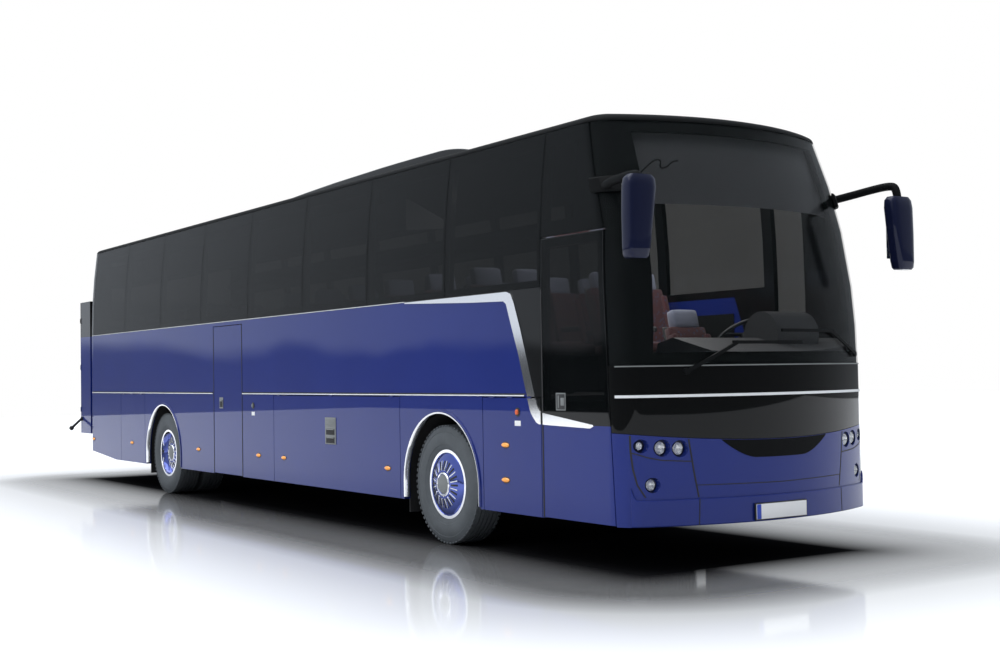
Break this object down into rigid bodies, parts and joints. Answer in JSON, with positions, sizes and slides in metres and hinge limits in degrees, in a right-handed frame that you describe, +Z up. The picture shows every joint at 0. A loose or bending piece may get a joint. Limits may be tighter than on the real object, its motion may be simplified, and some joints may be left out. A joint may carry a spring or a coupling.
{
  "type": "coach bus",
  "caption": "Two-axle touring coach with a bowed windscreen, flush dark glazing, swing-out doors, lifting hold flaps and a luggage box on the rear wall.",
  "frame": {"origin": "on the ground under the middle of the whole, mirrors and rear box included", "axes": "+X forwards, +Y to the coach's left, +Z up"},
  "size_m": [13.67, 2.95, 3.6405],
  "materials": {
    "paint": "deep blue metallic paint, gloss",
    "black_gloss": "black gloss panel",
    "glass": "dark tinted glass",
    "bright": "polished stainless trim",
    "frame_steel": "black frame paint",
    "cast": "axle and engine castings",
    "rubber": "black rubber",
    "tyre": "road tyre",
    "wheel": "bright wheel and cover",
    "lamp": "clear lamp glass",
    "red_lamp": "red lamp lens and rubber stalk",
    "interior": "dark grey interior",
    "seat_cloth": "dark patterned seat cloth",
    "floor": "floor covering"
  },
  "bodies": {
    "coach": {"side_wall_right": "paint", "side_wall_left": "paint", "side_glass": "glass", "windscreen_frame": "black_gloss", "windscreen": "glass", "front_bumper": "paint", "front_apron": "black_gloss", "head_lamps": "lamp", "rear_wall": "paint", "rear_window": "glass", "roof": "black_gloss", "roof_pod": "black_gloss", "bright_trim": "bright", "floor_deck": "floor", "underframe": "frame_steel", "front_beam": "frame_steel", "front_axle": "cast", "rear_axle": "cast", "wheel_housings": "rubber", "engine_block": "cast", "dashboard": "interior", "seats": "seat_cloth", "mirrors": "black_gloss", "wipers": "rubber", "luggage_box": "paint", "tail_lamps": "red_lamp"},
    "knuckle_left": {"knuckle_left": "cast"},
    "front_wheel_left": {"front_rim_left": "wheel", "front_tyre_left": "tyre"},
    "rear_wheels_left": {"rear_rims_left": "wheel", "rear_tyres_left": "tyre"},
    "box_door_left": {"box_door_left": "paint"},
    "knuckle_right": {"knuckle_right": "cast"},
    "front_wheel_right": {"front_rim_right": "wheel", "front_tyre_right": "tyre"},
    "rear_wheels_right": {"rear_rims_right": "wheel", "rear_tyres_right": "tyre"},
    "box_door_right": {"box_door_right": "paint"},
    "steering_wheel": {"steering_wheel": "interior"},
    "front_door_arms": {"front_door_arms": "frame_steel"},
    "front_door": {"front_door": "paint", "front_door_glass": "glass"},
    "mid_door_arms": {"mid_door_arms": "frame_steel"},
    "mid_door": {"mid_door": "paint"},
    "service_flap_right": {"service_flap_right": "paint"},
    "hold_flap_right": {"hold_flap_right": "paint"},
    "rear_flap_right": {"rear_flap_right": "paint"},
    "hold_flap_left_front": {"hold_flap_left_front": "paint"},
    "hold_flap_left_rear": {"hold_flap_left_rear": "paint"},
    "rear_flap_left": {"rear_flap_left": "paint"}
  },
  "joints": [
    {"name": "steer_left", "type": "hinge", "parent": "coach", "child": "knuckle_left", "pos_m": [3.88, 0.9, 0.522], "axis": [0, 0, 1], "range_deg": [-45, 45]},
    {"name": "front_wheel_left_spin", "type": "hinge", "parent": "knuckle_left", "child": "front_wheel_left", "pos_m": [3.88, 1.085, 0.522], "axis": [0, 1, 0], "continuous": true},
    {"name": "rear_wheels_left_spin", "type": "hinge", "parent": "coach", "child": "rear_wheels_left", "pos_m": [-3.14, 1.085, 0.522], "axis": [0, 1, 0], "continuous": true},
    {"name": "box_door_left_swing", "type": "hinge", "parent": "coach", "child": "box_door_left", "pos_m": [-6.8225, 1.261, 0.69], "axis": [0, 0, -1], "range_deg": [0, 110]},
    {"name": "steer_right", "type": "hinge", "parent": "coach", "child": "knuckle_right", "pos_m": [3.88, -0.9, 0.522], "axis": [0, 0, 1], "range_deg": [-45, 45]},
    {"name": "front_wheel_right_spin", "type": "hinge", "parent": "knuckle_right", "child": "front_wheel_right", "pos_m": [3.88, -1.085, 0.522], "axis": [0, 1, 0], "continuous": true},
    {"name": "rear_wheels_right_spin", "type": "hinge", "parent": "coach", "child": "rear_wheels_right", "pos_m": [-3.14, -1.085, 0.522], "axis": [0, 1, 0], "continuous": true},
    {"name": "box_door_right_swing", "type": "hinge", "parent": "coach", "child": "box_door_right", "pos_m": [-6.8225, -1.261, 0.69], "axis": [0, 0, 1], "range_deg": [0, 110]},
    {"name": "steering_wheel_turn", "type": "hinge", "parent": "coach", "child": "steering_wheel", "pos_m": [5.78, 0.56, 1.78], "axis": [-0.5299, 0, 0.848], "range_deg": [-810, 810]},
    {"name": "front_door_swing", "type": "hinge", "parent": "coach", "child": "front_door_arms", "pos_m": [6.123, -1.13, 0.355], "axis": [0, 0, 1], "range_deg": [0, 135]},
    {"name": "front_door_carry", "type": "hinge", "parent": "front_door_arms", "child": "front_door", "pos_m": [5.673, -1.13, 0.355], "axis": [0, 0, 1], "range_deg": [-135, 0]},
    {"name": "mid_door_swing", "type": "hinge", "parent": "coach", "child": "mid_door_arms", "pos_m": [-0.721, -1.13, 0.355], "axis": [0, 0, 1], "range_deg": [0, 135]},
    {"name": "mid_door_carry", "type": "hinge", "parent": "mid_door_arms", "child": "mid_door", "pos_m": [-1.207, -1.13, 0.355], "axis": [0, 0, 1], "range_deg": [-135, 0]},
    {"name": "service_flap_right_lift", "type": "hinge", "parent": "coach", "child": "service_flap_right", "pos_m": [5.0005, -1.281, 1.29], "axis": [-1, 0, 0], "range_deg": [0, 100]},
    {"name": "hold_flap_right_lift", "type": "hinge", "parent": "coach", "child": "hold_flap_right", "pos_m": [1.76, -1.281, 1.29], "axis": [-1, 0, 0], "range_deg": [0, 100]},
    {"name": "rear_flap_right_lift", "type": "hinge", "parent": "coach", "child": "rear_flap_right", "pos_m": [-4.355, -1.281, 1.29], "axis": [-1, 0, 0], "range_deg": [0, 100]},
    {"name": "hold_flap_left_front_lift", "type": "hinge", "parent": "coach", "child": "hold_flap_left_front", "pos_m": [1.76, 1.281, 1.29], "axis": [1, 0, 0], "range_deg": [0, 100]},
    {"name": "hold_flap_left_rear_lift", "type": "hinge", "parent": "coach", "child": "hold_flap_left_rear", "pos_m": [-1.0585, 1.281, 1.29], "axis": [1, 0, 0], "range_deg": [0, 100]},
    {"name": "rear_flap_left_lift", "type": "hinge", "parent": "coach", "child": "rear_flap_left", "pos_m": [-4.355, 1.281, 1.29], "axis": [1, 0, 0], "range_deg": [0, 100]}
  ],
  "couplings": [
    {"joint": "steer_right", "follows": "steer_left", "ratio": 1},
    {"joint": "steering_wheel_turn", "follows": "steer_left", "ratio": 18},
    {"joint": "front_door_carry", "follows": "front_door_swing", "ratio": -1},
    {"joint": "mid_door_carry", "follows": "mid_door_swing", "ratio": -1}
  ]
}
